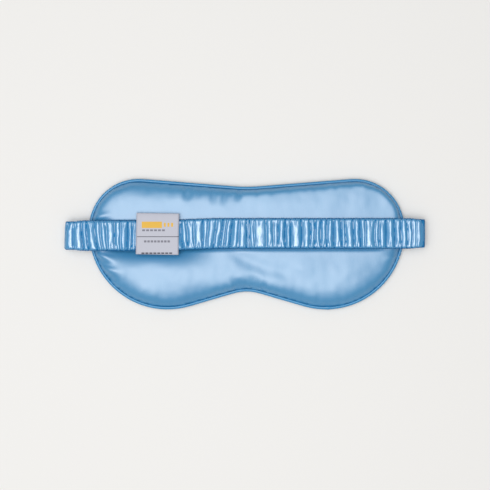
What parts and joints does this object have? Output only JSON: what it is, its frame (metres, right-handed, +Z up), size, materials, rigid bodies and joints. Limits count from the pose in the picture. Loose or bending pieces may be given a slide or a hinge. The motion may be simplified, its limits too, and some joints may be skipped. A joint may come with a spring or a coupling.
{
  "type": "padded eye mask",
  "caption": "Padded silk sleep mask with piped edge and nose notch; a ruched elastic head strap with a ribbon label is folded across its back.",
  "frame": {"origin": "under the middle of the whole object, on the surface that it rests on", "axes": "+X along the mask, +Y towards the brow, +Z up from the outer side to the skin side"},
  "size_m": [0.2424, 0.087, 0.0158],
  "materials": {
    "silk_satin": "light blue silk satin with a soft sheen",
    "piping_satin": "light blue satin cut on the bias",
    "strap_satin": "light blue satin, gathered",
    "wadding": "white polyester wadding",
    "dark_interlining": "dark woven interlining",
    "cotton_cord": "twisted cotton",
    "woven_elastic": "white braided elastic",
    "sewing_thread": "light blue polyester thread",
    "label_ribbon": "white satin ribbon"
  },
  "bodies": {
    "mask": {"skin_side_panel": "silk_satin", "outer_panel": "silk_satin", "wadding_skin_side": "wadding", "wadding_outer": "wadding", "light_blocking_layer": "dark_interlining", "piping_cover": "piping_satin", "piping_cord": "cotton_cord", "seam_thread": "sewing_thread", "closing_stitches": "sewing_thread", "strap_cover_end_left": "strap_satin", "strap_cover_end_right": "strap_satin", "strap_elastic_end_left": "woven_elastic", "strap_elastic_end_right": "woven_elastic", "strap_tacks": "sewing_thread"},
    "strap": {"strap_cover": "strap_satin", "strap_elastic": "woven_elastic", "strap_stitching": "sewing_thread"},
    "label": {"label": "label_ribbon"}
  },
  "joints": [
    {"name": "strap_pull", "type": "slide", "parent": "mask", "child": "strap", "axis": [0, 0, 1], "range_m": [0, 0.045], "stiffness_N_per_m": 30},
    {"name": "label_slide", "type": "slide", "parent": "strap", "child": "label", "axis": [1, 0, 0], "range_m": [-0.01, 0.129]}
  ]
}
